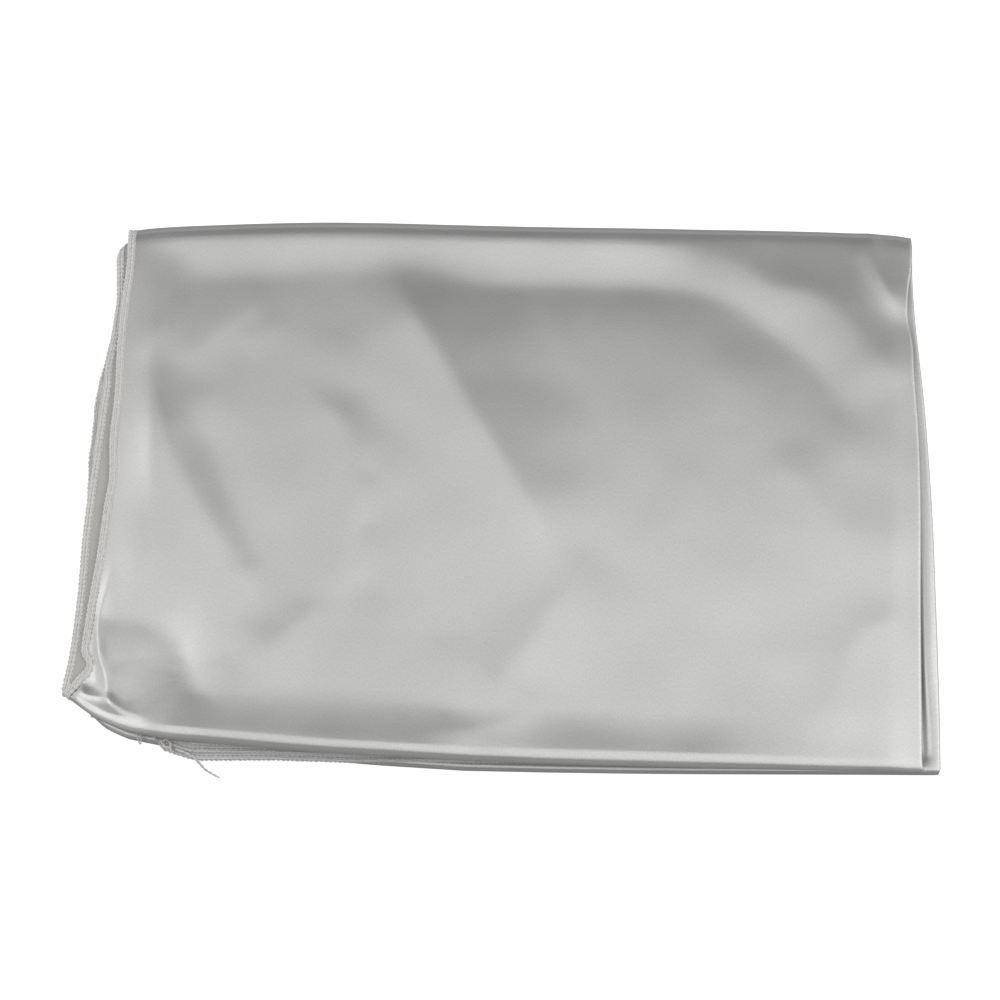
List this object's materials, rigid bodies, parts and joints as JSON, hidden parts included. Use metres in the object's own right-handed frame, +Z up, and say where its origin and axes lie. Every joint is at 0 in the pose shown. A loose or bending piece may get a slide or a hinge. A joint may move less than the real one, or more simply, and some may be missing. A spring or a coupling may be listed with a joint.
{
  "type": "evening stole",
  "caption": "Plain silver-grey satin evening stole with overlocked edges, folded flat into a soft rectangular packet that rests on a surface.",
  "frame": {"origin": "centre of the folded packet's box, on the surface it rests on", "axes": "+X along the near long side towards the folded side edge, with the overlocked side edges at -X; -Y towards the near side, where two bundles of folds show; +Z up"},
  "size_m": [0.3539, 0.242, 0.0149],
  "materials": {
    "satin": "silver-grey polyester satin with a soft broad sheen",
    "overlock_thread": "matte pale grey polyester thread, slightly warm"
  },
  "bodies": {
    "root": {"top_panel": "satin", "far_fold": "satin", "underside_panel": "satin", "upper_near_fold": "satin", "upper_inner_fold": "satin", "lower_near_fold": "satin", "short_end_upper": "satin", "short_end_lower": "satin", "inner_layers": "satin", "hem_long_edge": "overlock_thread", "hem_short_end_upper": "overlock_thread", "hem_short_end_lower": "overlock_thread", "thread_tail": "overlock_thread"}
  },
  "joints": []
}
